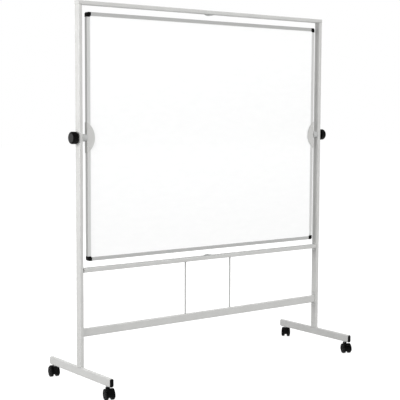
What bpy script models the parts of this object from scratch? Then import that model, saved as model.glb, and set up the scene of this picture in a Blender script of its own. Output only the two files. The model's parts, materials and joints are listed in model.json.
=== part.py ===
"""Rolling whiteboard: a double-sided board that turns over in a tube frame on four castors.

X runs along the board, the front faces -Y and Z is up. The origin is on the floor, under the middle.
"""
import math

import bmesh
import bpy
from mathutils import Matrix, Vector

# ---- driving dimensions, in metres ----
GAP = 0.0003            # clearance between pieces that touch
BORE_GAP = 0.0003       # radial clearance of a shaft in its bore
CHAMFER = 0.001         # on the ends of studs, stems and spacers

BOARD_WIDTH = 1.500
BOARD_HEIGHT = 1.200
BOARD_DEPTH = 0.020
PIVOT_HEIGHT = 1.222    # the board turns about its own middle

TUBE_WIDE = 0.040       # every frame tube has this section
TUBE_THIN = 0.020
TUBE_WALL = 0.0015
TUBE_RADIUS = 0.005

FRAME_WIDTH = 1.600     # over the outer faces of the uprights
FRAME_HEIGHT = 1.874
MID_RAIL_HEIGHT = 0.5785
LOW_RAIL_HEIGHT = 0.271
FOOT_UNDERSIDE = 0.062
FOOT_LENGTH = 0.562     # of the tube alone
CASTOR_SPREAD = 0.247   # from the middle of the foot to a castor's stem

RAIL_PLATE = 0.003      # thickness of the plates on the ends of the lower rails
PLATE_CORNER = 0.004
PLATE_VENT = 0.004      # radius of the hole in each plate
MID_PLATE_DEPTH = 0.024
MID_PLATE_HEIGHT = 0.048
LOW_PLATE_DEPTH = 0.022
LOW_PLATE_HEIGHT = 0.080
TOP_WAY = 0.006         # half width of the openings from the top rail into the uprights
TOP_WAY_DEPTH = 0.012   # and half their depth from front to back

PLUG_BODY = 0.016       # how far a plug reaches into the foot's end
PLUG_PROUD = 0.004      # how far its dome stands out
PLUG_RIM = 0.0025

ROD_SPREAD = 0.150
ROD_RADIUS = 0.004
ROD_SOCKET = 0.010      # how far a rod reaches into each rail

BUFFER_LENGTH = 0.053
BUFFER_RISE = 0.0065
BUFFER_HALF_DEPTH = 0.010

PROFILE_FACE = 0.018    # the board frame as seen from the front
PROFILE_WALL = 0.002
PROFILE_EDGE = 0.0015   # radius of the channel's outer edges
SHEET_THICKNESS = 0.0004
CORNER_LEG = 0.023
CORNER_PROUD = 0.001
CORNER_RADIUS = 0.010
CORNER_CHAMFER = 0.007

BRACKET_CHORD = 0.148
BRACKET_REACH = 0.0435
BRACKET_WALL = 0.0015
STUD_RADIUS = 0.005
STUD_FLANGE_RADIUS = 0.015
STUD_FLANGE = 0.003
STUD_SHORT = 0.008       # the stud ends this far inside the knob's outer face
SPACER_RADIUS = 0.018
BUSH_RADIUS = 0.008
BUSH_FLANGE_RADIUS = 0.014
BUSH_FLANGE = 0.0015
WASHER_RADIUS = 0.012
WASHER_THICKNESS = 0.002
KNOB_RADIUS = 0.030
KNOB_OUTER = 0.836      # the knob's outer face, from the middle of the board
KNOB_NECK = 0.0026
KNOB_NECK_RADIUS = 0.013
KNOB_BLIND = 0.006      # thickness of the knob's outer wall, where its bore ends

WHEEL_RADIUS = 0.025
WHEEL_INNER = 0.007     # from the castor's middle plane to the near side of a wheel
WHEEL_OUTER = 0.0245
CASTOR_TRAIL = 0.020
HOOD_RADIUS = 0.0295
HOOD_SHELL = 0.0025
HOOD_HALF_WIDTH = 0.022
HOOD_WEB = 0.006        # half the thickness of the web between the wheels
HOOD_SWEEP = 15         # how far the hood reaches below the axle's level at each end, in degrees
BOSS_RADIUS = 0.0105
BOSS_CLEAR = 0.0032     # between the boss and the foot, for the stem's collar
AXLE_RADIUS = 0.003
AXLE_HALF = 0.0205
STEM_RADIUS = 0.004
STEM_LOW = 0.034        # the stem's lower end, in the hood's web
STEM_HIGH = 0.027       # its upper end, from the foot's underside
COLLAR_RADIUS = 0.009
COLLAR_THICKNESS = 0.002
LEVER_ANGLE = 38        # where the brake lever sits round the axle, in degrees
LEVER_HALF_WIDTH = 0.0125
LEVER_BARREL = 0.0020
LEVER_PIN = 0.0013
LEVER_PIN_REACH = 0.0025

# direction in which each castor trails, in degrees from +X
CASTOR_HEADINGS = {"rear_left": 80, "front_left": 256, "rear_right": 40, "front_right": 248}
BRAKED = ("rear_left", "front_right")

# ---- places worked out from them ----
UPRIGHT_X = FRAME_WIDTH / 2 - TUBE_THIN / 2
UPRIGHT_INNER = FRAME_WIDTH / 2 - TUBE_THIN
FOOT_MIDDLE = FOOT_UNDERSIDE + TUBE_WIDE / 2
FOOT_TOP = FOOT_UNDERSIDE + TUBE_WIDE
UPRIGHT_LOW = FOOT_TOP + GAP
UPRIGHT_HIGH = FRAME_HEIGHT - TUBE_THIN - GAP
BOARD_EDGE = BOARD_WIDTH / 2
PACK_DEPTH = BOARD_DEPTH - 2 * PROFILE_WALL
CORE_DEPTH = PACK_DEPTH - 4 * GAP - 2 * SHEET_THICKNESS  # a gap on both sides of each sheet
PACK_INSET = PROFILE_WALL + GAP
BRACKET_OUTER = BOARD_EDGE + GAP + BRACKET_WALL
BUSH_OUTER = FRAME_WIDTH / 2 + GAP + BUSH_FLANGE
WASHER_INNER = BUSH_OUTER + GAP
KNOB_INNER = WASHER_INNER + WASHER_THICKNESS + GAP
FACING = {"X": Matrix.Rotation(math.pi / 2, 4, "Y"), "-X": Matrix.Rotation(-math.pi / 2, 4, "Y"),
          "Y": Matrix.Rotation(-math.pi / 2, 4, "X"), "-Y": Matrix.Rotation(math.pi / 2, 4, "X"),
          "Z": Matrix.Identity(4), "-Z": Matrix.Rotation(math.pi, 4, "X")}


def clear_scene():
    for obj in list(bpy.data.objects):
        bpy.data.objects.remove(obj, do_unlink=True)


def make_material(name, colour, roughness, metallic=0.0):
    material = bpy.data.materials.new(name)
    material.use_nodes = True
    shader = material.node_tree.nodes["Principled BSDF"]
    shader.inputs["Base Color"].default_value = (*colour, 1)
    shader.inputs["Roughness"].default_value = roughness
    shader.inputs["Metallic"].default_value = metallic
    material.diffuse_color = (*colour, 1)
    return material


def make_empty(name, location, parent=None, turn=0.0):
    empty = bpy.data.objects.new(name, None)
    bpy.context.collection.objects.link(empty)
    empty.parent = parent
    empty.location = location
    empty.rotation_euler = (0, 0, turn)
    return empty


def add_object(name, mesh, material=None, parent=None, location=(0, 0, 0)):
    obj = bpy.data.objects.new(name, mesh)
    bpy.context.collection.objects.link(obj)
    obj.parent = parent
    obj.location = location
    if material and not mesh.materials:
        mesh.materials.append(material)
    return obj


def mesh_from(bm, name, smooth=30):
    """Close the bmesh into a mesh with outward faces; edges sharper than smooth degrees stay crisp."""
    bmesh.ops.remove_doubles(bm, verts=bm.verts, dist=0.00001)
    bmesh.ops.recalc_face_normals(bm, faces=bm.faces)
    mesh = bpy.data.meshes.new(name)
    bm.to_mesh(mesh)
    bm.free()
    mesh.shade_smooth()
    mesh.set_sharp_from_angle(angle=math.radians(smooth))
    return mesh


# ---- outlines ----
def arc(centre_u, centre_v, radius, start, end, steps):
    """Points on an arc, from the start angle to the end angle in degrees."""
    points = []
    for step in range(steps + 1):
        angle = math.radians(start + (end - start) * step / steps)
        points.append((centre_u + radius * math.cos(angle), centre_v + radius * math.sin(angle)))
    return points


def rounded(width, height, radius, steps=3):
    """Outline of a rectangle with round corners, centred on the origin."""
    u = width / 2 - radius
    v = height / 2 - radius
    points = []
    for corner, (su, sv) in enumerate(((1, 1), (-1, 1), (-1, -1), (1, -1))):
        points += arc(su * u, sv * v, radius, 90 * corner, 90 * corner + 90, steps)
    return points


def bow(chord, rise):
    """Radius, and half the angle in degrees, of the arc with this chord and rise."""
    radius = (chord ** 2 / 4 + rise ** 2) / (2 * rise)
    return radius, math.degrees(math.asin(chord / 2 / radius))


def circle(radius, steps=16, centre=(0, 0)):
    return arc(centre[0], centre[1], radius, 0, 360 * (steps - 1) / steps, steps - 1)


# ---- solids ----
def loop_edges(bm, outline, z=0.0):
    verts = [bm.verts.new((u, v, z)) for u, v in outline]
    return [bm.edges.new((verts[i - 1], verts[i])) for i in range(len(verts))]


def prism(outline, low, high, holes=(), facing="Z"):
    """Extrude an outline, with holes, from low to high along the facing direction."""
    bm = bmesh.new()
    if holes:
        edges = [edge for shape in (outline, *holes) for edge in loop_edges(bm, shape, low)]
        faces = bmesh.ops.triangle_fill(bm, edges=edges, use_beauty=True)["geom"]
        faces = [item for item in faces if isinstance(item, bmesh.types.BMFace)]
    else:
        faces = [bm.faces.new([bm.verts.new((u, v, low)) for u, v in outline])]
    grown = bmesh.ops.extrude_face_region(bm, geom=faces)["geom"]
    bmesh.ops.translate(bm, verts=[g for g in grown if isinstance(g, bmesh.types.BMVert)],
                        vec=(0, 0, high - low))
    bmesh.ops.transform(bm, matrix=FACING[facing], verts=bm.verts)
    return bm


def turned(profile, steps=24, facing="Z"):
    """Spin a closed profile of (radius, height) points about the facing direction."""
    bm = bmesh.new()
    verts = [bm.verts.new((radius, 0, height)) for radius, height in profile]
    edges = [bm.edges.new((verts[i - 1], verts[i])) for i in range(len(verts))]
    bmesh.ops.spin(bm, geom=verts + edges, cent=(0, 0, 0), axis=(0, 0, 1), angle=2 * math.pi,
                   steps=steps, use_merge=True)
    bmesh.ops.remove_doubles(bm, verts=bm.verts, dist=0.00001)
    spare = [edge for edge in bm.edges if not edge.link_faces]
    bmesh.ops.delete(bm, geom=spare, context="EDGES")
    bmesh.ops.transform(bm, matrix=FACING[facing], verts=bm.verts)
    return bm


def disc(radius, low, high, steps=16, facing="Z", centre=(0, 0)):
    return prism(circle(radius, steps, centre), low, high, facing=facing)


def block(low, high):
    """A box between two corners."""
    bm = bmesh.new()
    bmesh.ops.create_cube(bm, size=1)
    size = Vector(high) - Vector(low)
    bmesh.ops.scale(bm, vec=size, verts=bm.verts)
    bmesh.ops.translate(bm, vec=(Vector(high) + Vector(low)) / 2, verts=bm.verts)
    return bm


def moved(bm, offset):
    bmesh.ops.translate(bm, vec=offset, verts=bm.verts)
    return bm


def carved(bm, name, cuts=(), joins=(), smooth=30):
    """The mesh of a solid after exact Boolean unions and cuts by other solids."""
    bmesh.ops.recalc_face_normals(bm, faces=bm.faces)
    base = add_object(name + "_base", mesh_from(bm, name + "_base"))
    tools = []
    for operation, shapes in (("UNION", joins), ("DIFFERENCE", cuts)):
        for shape in shapes:
            tool = add_object(name + "_tool", mesh_from(shape, name + "_tool"))
            tool.hide_render = True
            tool.display_type = "WIRE"
            modifier = base.modifiers.new(operation.title(), "BOOLEAN")
            modifier.operation = operation
            modifier.solver = "EXACT"
            modifier.object = tool
            tools.append(tool)
    depsgraph = bpy.context.evaluated_depsgraph_get()
    mesh = bpy.data.meshes.new_from_object(base.evaluated_get(depsgraph))
    mesh.name = name
    for obj in (base, *tools):
        bpy.data.objects.remove(obj, do_unlink=True)
    mesh.shade_smooth()
    mesh.set_sharp_from_angle(angle=math.radians(smooth))
    return mesh


# ---- the frame ----
def tube(width, height, low, high, facing="Z"):
    """A rounded rectangular tube, open at both ends."""
    bore = rounded(width - 2 * TUBE_WALL, height - 2 * TUBE_WALL, TUBE_RADIUS - TUBE_WALL)
    return prism(rounded(width, height, TUBE_RADIUS), low, high, [bore], facing)



def make_upright(name, side, material, parent):
    """side is -1 on the left and 1 on the right. Both ends are open and the pivot bush crosses it."""
    bm = tube(TUBE_THIN, TUBE_WIDE, UPRIGHT_LOW, UPRIGHT_HIGH)
    bush_hole = moved(disc(BUSH_RADIUS + BORE_GAP, -TUBE_THIN, TUBE_THIN, 16, "X"), (0, 0, PIVOT_HEIGHT))
    add_object(name, carved(bm, name, [bush_hole]), material, parent, (side * UPRIGHT_X, 0, 0))


def make_rail(name, depth, height, level, plate_depth, plate_height, material, parent):
    """A rail between the uprights, with a welded plate on each end and sockets for the rods."""
    reach = UPRIGHT_INNER - GAP
    # the tube stops inside its plates, so that the union has no shared faces
    bm = tube(height, depth, RAIL_PLATE / 2 - reach, reach - RAIL_PLATE / 2, "X")
    plate = rounded(plate_height, plate_depth, PLATE_CORNER)
    plates = [prism(plate, reach - RAIL_PLATE, reach, [circle(PLATE_VENT, 12)], facing)
              for facing in ("X", "-X")]
    rod_side = 1 if level == LOW_RAIL_HEIGHT else -1
    low, high = sorted((0.0, rod_side * height))
    sockets = [moved(disc(ROD_RADIUS + BORE_GAP, low, high), (side * ROD_SPREAD, 0, 0)) for side in (-1, 1)]
    add_object(name, carved(bm, name, sockets, plates), material, parent, (0, 0, level))


def make_top_rail(material, parent):
    """The rail over both uprights. Its ends are closed, and it is open into each upright below."""
    half = FRAME_WIDTH / 2
    bm = prism(rounded(TUBE_THIN, TUBE_WIDE, TUBE_RADIUS), -half, half, (), "X")
    bore = rounded(TUBE_THIN - 2 * TUBE_WALL, TUBE_WIDE - 2 * TUBE_WALL, TUBE_RADIUS - TUBE_WALL)
    hollow = prism(bore, TUBE_WALL - half, half - TUBE_WALL, (), "X")
    way_low = (-TOP_WAY, -TOP_WAY_DEPTH, -TUBE_THIN)
    way_high = (TOP_WAY, TOP_WAY_DEPTH, 0)
    ways = [moved(block(way_low, way_high), (side * UPRIGHT_X, 0, 0)) for side in (-1, 1)]
    mesh = carved(bm, "top_rail", [hollow, *ways])
    add_object("top_rail", mesh, material, parent, (0, 0, FRAME_HEIGHT - TUBE_THIN / 2))


def make_foot(name, side, material, parent):
    """A tube from front to back, drilled below for the castors' stems."""
    bm = tube(TUBE_THIN, TUBE_WIDE, -FOOT_LENGTH / 2, FOOT_LENGTH / 2, "Y")
    holes = [disc(STEM_RADIUS + GAP, -TUBE_WIDE, 0, centre=(0, end * CASTOR_SPREAD)) for end in (-1, 1)]
    add_object(name, carved(bm, name, holes), material, parent, (side * UPRIGHT_X, 0, FOOT_MIDDLE))


def plug_mesh(facing):
    """A plug whose body sits in the foot's end and whose domed flange covers it."""
    end = FOOT_LENGTH / 2
    inside = 2 * (TUBE_WALL + GAP)
    step = 0.004            # the dome's outline is this much smaller than the rim's
    bite = 0.001            # each solid reaches this far into the next
    body = prism(rounded(TUBE_THIN - inside, TUBE_WIDE - inside, 0.003), end - PLUG_BODY,
                 end + GAP + bite, (), facing)
    rim = prism(rounded(TUBE_THIN, TUBE_WIDE, 0.0085, 4), end + GAP, end + PLUG_RIM, (), facing)
    dome = prism(rounded(TUBE_THIN - step, TUBE_WIDE - step, 0.0075, 4), end + PLUG_RIM - bite,
                 end + PLUG_PROUD, (), facing)
    return carved(body, "plug", (), [rim, dome])


def make_plugs(material, parent):
    for end, facing in (("rear", "Y"), ("front", "-Y")):
        mesh = plug_mesh(facing)
        for side, side_name in ((-1, "left"), (1, "right")):
            add_object(f"foot_plug_{end}_{side_name}", mesh, material, parent,
                       (side * UPRIGHT_X, 0, FOOT_MIDDLE))


def make_rods(material, parent):
    """Two thin rods tie the lower rails together; their ends stand in the rails."""
    low = LOW_RAIL_HEIGHT + TUBE_WIDE / 2 - ROD_SOCKET
    high = MID_RAIL_HEIGHT - TUBE_THIN / 2 + ROD_SOCKET
    for side, name in ((-1, "rod_left"), (1, "rod_right")):
        mesh = mesh_from(disc(ROD_RADIUS, low, high), name)
        add_object(name, mesh, material, parent, (side * ROD_SPREAD, 0, 0))


def buffer_outline():
    """Outline of a low dome on a flat base."""
    radius, half = bow(BUFFER_LENGTH, BUFFER_RISE)
    return arc(0, BUFFER_RISE - radius, radius, 90 - half, 90 + half, 10)


def make_buffers(material, parent):
    """Domed buffers in the middle of the rails above and below the board."""
    spots = (("rail_buffer_top", FRAME_HEIGHT - TUBE_THIN - GAP, "Y"),
             ("rail_buffer_bottom", MID_RAIL_HEIGHT + TUBE_THIN / 2 + GAP, "-Y"))
    for name, level, facing in spots:
        bm = prism(buffer_outline(), -BUFFER_HALF_DEPTH, BUFFER_HALF_DEPTH, (), facing)
        mesh = mesh_from(bm, name)
        add_object(name, mesh, material, parent, (0, 0, level))


# ---- the board ----
def make_panel(core_material, sheet_material, parent):
    """A core with a steel writing sheet on each side; the corners are rounded."""
    width = BOARD_WIDTH - 2 * PACK_INSET
    height = BOARD_HEIGHT - 2 * PACK_INSET
    outline = rounded(width, height, CORNER_RADIUS)
    half = CORE_DEPTH / 2
    add_object("board_core", mesh_from(prism(outline, -half, half, (), "-Y"), "board_core"),
               core_material, parent)
    for name, facing in (("sheet_front", "-Y"), ("sheet_back", "Y")):
        bm = prism(outline, half + GAP, half + GAP + SHEET_THICKNESS, (), facing)
        add_object(name, mesh_from(bm, name), sheet_material, parent)


def channel_outline():
    """Section of the board frame: a channel that opens towards -u, its back at u = 0."""
    half = BOARD_DEPTH / 2
    edge = PROFILE_EDGE
    outer = arc(-edge, half - edge, edge, 90, 0, 2) + arc(-edge, edge - half, edge, 0, -90, 2)
    return ([(-PROFILE_FACE, half - PROFILE_WALL), (-PROFILE_FACE, half)] + outer
            + [(-PROFILE_FACE, -half), (-PROFILE_FACE, PROFILE_WALL - half),
               (-PROFILE_WALL, PROFILE_WALL - half), (-PROFILE_WALL, half - PROFILE_WALL)])


def make_profiles(material, parent):
    """Four channels round the panel, cut short at the corner caps."""
    half_x = BOARD_WIDTH / 2 - CORNER_LEG - GAP
    half_z = BOARD_HEIGHT / 2 - CORNER_LEG - GAP
    # each channel runs along its own Z; the turn brings its back to the board's edge
    sides = (("profile_right", 0, half_z, BOARD_WIDTH / 2),
             ("profile_top", 90, half_x, BOARD_HEIGHT / 2),
             ("profile_left", 180, half_z, BOARD_WIDTH / 2),
             ("profile_bottom", 270, half_x, BOARD_HEIGHT / 2))
    for name, turn, half, reach in sides:
        bm = moved(prism(channel_outline(), -half, half), (reach, 0, 0))
        bmesh.ops.transform(bm, matrix=Matrix.Rotation(-math.radians(turn), 4, "Y"), verts=bm.verts)
        add_object(name, mesh_from(bm, name), material, parent)


def corner_mesh():
    """Cap for the top right corner, with a slot for the panel. Its outline is in the XZ plane."""
    half_x = BOARD_WIDTH / 2
    half_z = BOARD_HEIGHT / 2
    low_x = half_x - CORNER_LEG
    low_z = half_z - CORNER_LEG
    outline = [(low_x + CORNER_CHAMFER, low_z), (half_x, low_z)]
    outline += arc(half_x - CORNER_RADIUS, half_z - CORNER_RADIUS, CORNER_RADIUS, 0, 90, 5)
    outline += [(low_x, half_z), (low_x, low_z + CORNER_CHAMFER)]
    half = BOARD_DEPTH / 2 + CORNER_PROUD
    bm = prism([(x, -z) for x, z in outline], -half, half, (), "Y")
    slot = rounded(BOARD_WIDTH - 2 * PROFILE_WALL, BOARD_HEIGHT - 2 * PROFILE_WALL, CORNER_RADIUS)
    return carved(bm, "corner", [prism(slot, -PACK_DEPTH / 2, PACK_DEPTH / 2, (), "Y")])


def make_corners(material, parent):
    """The same cap on all four corners, turned end over end."""
    mesh = corner_mesh()
    for name, sx, sz in (("corner_top_right", 1, 1), ("corner_top_left", -1, 1),
                         ("corner_bottom_left", -1, -1), ("corner_bottom_right", 1, -1)):
        bm = bmesh.new()
        bm.from_mesh(mesh)
        bmesh.ops.scale(bm, vec=(sx, 1, sz), verts=bm.verts)
        add_object(name, mesh_from(bm, name), material, parent)


def make_bracket(name, side, material, parent):
    """Sheet folded round the board's edge: a D-shaped plate on each face and a strip between them."""
    radius, half = bow(BRACKET_CHORD, BRACKET_REACH)
    # the curved edge bulges towards the middle of the board
    outline = arc(BRACKET_OUTER - BRACKET_REACH + radius, 0, radius, 180 - half, 180 + half, 16)
    depth = BOARD_DEPTH / 2 + GAP
    bm = prism(outline, -depth - BRACKET_WALL, depth + BRACKET_WALL, (), "Y")
    slot = block((BOARD_WIDTH / 3, -depth, -BRACKET_CHORD),
                 (BRACKET_OUTER - BRACKET_WALL, depth, BRACKET_CHORD))
    mesh = carved(bm, name, [slot])
    if side < 0:
        mesh.transform(Matrix.Rotation(math.pi, 4, "Z"))
    add_object(name, mesh, material, parent)


def make_pivot(side_name, facing, materials, frame, board):
    """Stud and spacer on the board, and the bush in the upright that the stud turns in."""
    flange_low = BRACKET_OUTER + GAP
    flange_high = flange_low + STUD_FLANGE
    stud_end = KNOB_OUTER - STUD_SHORT
    stud = [(0, flange_low), (STUD_FLANGE_RADIUS, flange_low), (STUD_FLANGE_RADIUS, flange_high),
            (STUD_RADIUS, flange_high), (STUD_RADIUS, stud_end - CHAMFER),
            (STUD_RADIUS - CHAMFER, stud_end), (0, stud_end)]
    name = "pivot_stud_" + side_name
    add_object(name, mesh_from(turned(stud, 16, facing), name), materials["zinc"], board)

    bore = STUD_RADIUS + BORE_GAP
    spacer_end = UPRIGHT_INNER - GAP
    spacer = [(bore, flange_high + GAP), (STUD_FLANGE_RADIUS + GAP, flange_high + GAP),
              (STUD_FLANGE_RADIUS + GAP, flange_low), (SPACER_RADIUS, flange_low),
              (SPACER_RADIUS, spacer_end - CHAMFER), (SPACER_RADIUS - CHAMFER, spacer_end),
              (bore, spacer_end)]
    name = "pivot_spacer_" + side_name
    add_object(name, mesh_from(turned(spacer, 24, facing), name), materials["grey_plastic"], board)

    bush = [(bore, UPRIGHT_INNER), (BUSH_RADIUS, UPRIGHT_INNER), (BUSH_RADIUS, FRAME_WIDTH / 2 + GAP),
            (BUSH_FLANGE_RADIUS, FRAME_WIDTH / 2 + GAP), (BUSH_FLANGE_RADIUS, BUSH_OUTER),
            (bore, BUSH_OUTER)]
    name = "pivot_bush_" + side_name
    add_object(name, mesh_from(turned(bush, 16, facing), name), materials["black_plastic"], frame,
               (0, 0, PIVOT_HEIGHT))


def make_knob(side_name, facing, materials, parent):
    """Clamping knob with its steel washer."""
    bore = STUD_RADIUS + BORE_GAP
    washer_high = WASHER_INNER + WASHER_THICKNESS
    washer = [(bore, WASHER_INNER), (WASHER_RADIUS, WASHER_INNER), (WASHER_RADIUS, washer_high),
              (bore, washer_high)]
    name = "knob_washer_" + side_name
    add_object(name, mesh_from(turned(washer, 16, facing), name), materials["zinc"], parent)
    head = KNOB_INNER + KNOB_NECK
    blind = KNOB_OUTER - KNOB_BLIND
    profile = [(bore, KNOB_INNER), (KNOB_NECK_RADIUS, KNOB_INNER), (KNOB_NECK_RADIUS, head),
               (KNOB_RADIUS - 0.002, head), (KNOB_RADIUS, head + 0.002), (KNOB_RADIUS, KNOB_OUTER - 0.009),
               (KNOB_RADIUS - 0.0015, KNOB_OUTER - 0.004), (KNOB_RADIUS - 0.006, KNOB_OUTER - 0.0008),
               (KNOB_RADIUS - 0.010, KNOB_OUTER), (0, KNOB_OUTER), (0, blind), (bore, blind)]
    name = "knob_" + side_name
    add_object(name, mesh_from(turned(profile, 24, facing), name), materials["black_plastic"], parent)


# ---- the castors, each built round its stem with +X as the direction it trails in ----
def around_axle(bm):
    """Move a shape that was made about the origin to the axle."""
    return moved(bm, (CASTOR_TRAIL, 0, WHEEL_RADIUS))


def hood_mesh(braked):
    """Hood over both wheels, with the web between them that carries the axle and the stem."""
    arch = arc(0, 0, HOOD_RADIUS, -HOOD_SWEEP, 180 + HOOD_SWEEP, 24)
    bm = around_axle(prism([(u, -v) for u, v in arch], -HOOD_HALF_WIDTH, HOOD_HALF_WIDTH, (), "Y"))
    boss = disc(BOSS_RADIUS, WHEEL_RADIUS + BOSS_RADIUS, FOOT_UNDERSIDE - BOSS_CLEAR, 20)
    clear = HOOD_RADIUS - HOOD_SHELL
    beyond = 2 * HOOD_HALF_WIDTH
    cuts = [around_axle(disc(clear, HOOD_WEB, beyond, 28, facing)) for facing in ("Y", "-Y")]
    cuts.append(disc(STEM_RADIUS + BORE_GAP, STEM_LOW - CHAMFER, FOOT_TOP, 16))
    cuts.append(around_axle(disc(AXLE_RADIUS + GAP, -beyond, beyond, 16, "Y")))
    if braked:
        slot = LEVER_HALF_WIDTH + 0.0005
        pin_end = LEVER_HALF_WIDTH + LEVER_PIN_REACH + 0.001
        cuts.append(lever_placed(block((-0.004, -slot, -0.0045), (0.006, slot, 0.008))))
        cuts.append(lever_placed(disc(LEVER_PIN + GAP, -pin_end, pin_end, 12, "Y")))
    return carved(bm, "hood", cuts, [boss])


def lever_place():
    """Pivot of the brake lever, in the thickness of the hood's shell."""
    angle = math.radians(LEVER_ANGLE)
    reach = HOOD_RADIUS - HOOD_SHELL / 2
    return Vector((CASTOR_TRAIL + reach * math.cos(angle), 0, WHEEL_RADIUS + reach * math.sin(angle)))


def lever_placed(bm):
    return moved(bm, lever_place())


def lever_mesh():
    """Brake lever: a pedal that rises outwards from a barrel with two pins."""
    pedal = [(0.0, -0.0009), (0.0050, 0.0012), (0.0105, 0.0062), (0.0105, 0.0085), (0.0085, 0.0085),
             (0.0040, 0.0036), (0.0, 0.0013)]
    bm = prism([(u, -v) for u, v in pedal], -LEVER_HALF_WIDTH, LEVER_HALF_WIDTH, (), "Y")
    barrel_end = LEVER_HALF_WIDTH - 0.0002
    pin_end = LEVER_HALF_WIDTH + LEVER_PIN_REACH
    barrel = disc(LEVER_BARREL, -barrel_end, barrel_end, 12, "Y")
    pins = disc(LEVER_PIN, -pin_end, pin_end, 12, "Y")
    return carved(bm, "lever", (), [barrel, pins])


def wheel_profile():
    """Half section of a wheel: radius and distance from the castor's middle plane."""
    bore = AXLE_RADIUS + GAP
    face = WHEEL_OUTER - 0.004
    return [(bore, WHEEL_INNER), (WHEEL_RADIUS - 0.003, WHEEL_INNER), (WHEEL_RADIUS, WHEEL_INNER + 0.003),
            (WHEEL_RADIUS, WHEEL_OUTER - 0.005), (WHEEL_RADIUS - 0.002, WHEEL_OUTER - 0.001),
            (WHEEL_RADIUS - 0.005, WHEEL_OUTER), (WHEEL_RADIUS - 0.008, face), (0.008, face),
            (0.007, face + 0.002), (bore, face + 0.002)]


def stem_mesh():
    """Steel stem with a collar that bears on the foot's underside."""
    collar = FOOT_UNDERSIDE - GAP
    collar_low = collar - COLLAR_THICKNESS
    top = FOOT_UNDERSIDE + STEM_HIGH
    profile = [(0, STEM_LOW), (STEM_RADIUS, STEM_LOW), (STEM_RADIUS, collar_low),
               (COLLAR_RADIUS, collar_low), (COLLAR_RADIUS, collar), (STEM_RADIUS, collar),
               (STEM_RADIUS, top - CHAMFER), (STEM_RADIUS - CHAMFER, top), (0, top)]
    return mesh_from(turned(profile, 16), "stem")


def make_castor(place, spot, heading, meshes, materials, parent):
    """Place one castor's pieces: the stem stays with the foot and the rest swivels round it."""
    add_object("castor_stem_" + place, meshes["stem"], materials["zinc"], parent, spot)
    swivel = make_empty("castor_" + place, spot, parent, math.radians(heading))
    braked = place in BRAKED
    hood = meshes["braked_hood" if braked else "hood"]
    add_object("castor_hood_" + place, hood, materials["black_plastic"], swivel)
    axle = make_empty("axle_point_" + place, (CASTOR_TRAIL, 0, WHEEL_RADIUS), swivel)
    add_object("castor_axle_" + place, meshes["axle"], materials["zinc"], axle)
    for hand, spin in (("a", 0.0), ("b", math.pi)):
        turn = make_empty("wheel_turn_" + place + "_" + hand, (0, 0, 0), axle, spin)
        add_object("castor_wheel_" + place + "_" + hand, meshes["wheel"], materials["tread"], turn)
    if braked:
        add_object("brake_lever_" + place, meshes["lever"], materials["black_plastic"], swivel, lever_place())


def make_castors(materials, parent):
    meshes = {
        "hood": hood_mesh(False),
        "braked_hood": hood_mesh(True),
        "lever": lever_mesh(),
        "axle": mesh_from(disc(AXLE_RADIUS, -AXLE_HALF, AXLE_HALF, 16, "Y"), "axle"),
        "wheel": mesh_from(turned(wheel_profile(), 24, "Y"), "wheel"),
        "stem": stem_mesh(),
    }
    for place, heading in CASTOR_HEADINGS.items():
        x = UPRIGHT_X if "right" in place else -UPRIGHT_X
        y = CASTOR_SPREAD if "rear" in place else -CASTOR_SPREAD
        make_castor(place, (x, y, 0), heading, meshes, materials, parent)


# ---- assembly ----
def make_materials():
    return {
        "paint": make_material("frame_paint", (0.72, 0.73, 0.72), 0.42),
        "aluminium": make_material("board_frame", (0.70, 0.71, 0.72), 0.34, 1.0),
        "sheet": make_material("writing_sheet", (0.92, 0.93, 0.93), 0.12),
        "core": make_material("board_core", (0.55, 0.43, 0.28), 0.80),
        "black_plastic": make_material("black_plastic", (0.012, 0.012, 0.013), 0.38),
        "grey_plastic": make_material("grey_plastic", (0.66, 0.67, 0.67), 0.45),
        "tread": make_material("wheel_tread", (0.010, 0.010, 0.011), 0.50),
        "zinc": make_material("zinc_steel", (0.58, 0.59, 0.60), 0.32, 1.0),
    }


def make_frame(materials, parent):
    paint = materials["paint"]
    make_upright("upright_left", -1, paint, parent)
    make_upright("upright_right", 1, paint, parent)
    make_top_rail(paint, parent)
    make_rail("mid_rail", TUBE_WIDE, TUBE_THIN, MID_RAIL_HEIGHT, MID_PLATE_DEPTH, MID_PLATE_HEIGHT,
              paint, parent)
    make_rail("low_rail", TUBE_THIN, TUBE_WIDE, LOW_RAIL_HEIGHT, LOW_PLATE_DEPTH, LOW_PLATE_HEIGHT,
              paint, parent)
    make_foot("foot_left", -1, paint, parent)
    make_foot("foot_right", 1, paint, parent)
    make_plugs(materials["black_plastic"], parent)
    make_rods(paint, parent)
    make_buffers(materials["grey_plastic"], parent)


def make_board(materials, parent):
    make_panel(materials["core"], materials["sheet"], parent)
    make_profiles(materials["aluminium"], parent)
    make_corners(materials["black_plastic"], parent)
    make_bracket("bracket_left", -1, materials["paint"], parent)
    make_bracket("bracket_right", 1, materials["paint"], parent)


def main():
    clear_scene()
    materials = make_materials()
    frame = make_empty("frame", (0, 0, 0))
    board = make_empty("board", (0, 0, PIVOT_HEIGHT), frame)
    make_frame(materials, frame)
    make_board(materials, board)
    for side_name, facing in (("left", "-X"), ("right", "X")):
        make_pivot(side_name, facing, materials, frame, board)
        turn = make_empty("knob_turn_" + side_name, (0, 0, 0), board)
        make_knob(side_name, facing, materials, turn)
    make_castors(materials, frame)


main()
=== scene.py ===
"""The looks of a rolling whiteboard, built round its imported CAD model."""
import json
import math

import bmesh
import bpy
from mathutils import Matrix, Vector


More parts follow.
